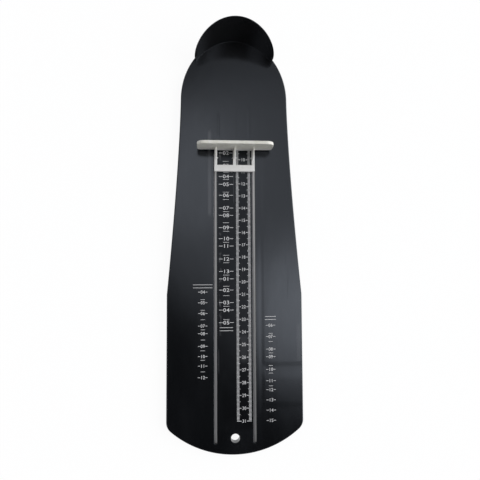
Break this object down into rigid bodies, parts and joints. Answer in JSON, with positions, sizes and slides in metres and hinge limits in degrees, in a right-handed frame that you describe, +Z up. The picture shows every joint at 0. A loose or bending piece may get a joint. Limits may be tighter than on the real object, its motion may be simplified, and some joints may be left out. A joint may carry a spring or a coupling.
{
  "type": "foot measuring device",
  "caption": "Flat moulded foot measuring board with an arched heel wall, printed centimetre and shoe size scales and a white toe slider running in two slots.",
  "frame": {"origin": "centre of the footprint's bounding box, on the surface the board stands on", "axes": "+Z up; +Y along the board towards the heel wall; +X to the right when the heel wall is furthest away"},
  "size_m": [0.109, 0.3384, 0.044],
  "materials": {
    "board_plastic": "semi-gloss black moulded plastic",
    "slider_plastic": "satin ivory white moulded plastic",
    "film": "matt black film",
    "print_ink": "matt white print"
  },
  "bodies": {
    "board": {"base_board": "board_plastic", "centre_film": "film", "womens_scale": "print_ink", "childrens_scale": "print_ink", "mens_scale": "print_ink", "centimetre_ladder": "print_ink"},
    "toe_slider": {"slider": "slider_plastic"}
  },
  "joints": [
    {"name": "slider_travel", "type": "slide", "parent": "board", "child": "toe_slider", "axis": [0, -1, 0], "range_m": [0, 0.2176]}
  ]
}
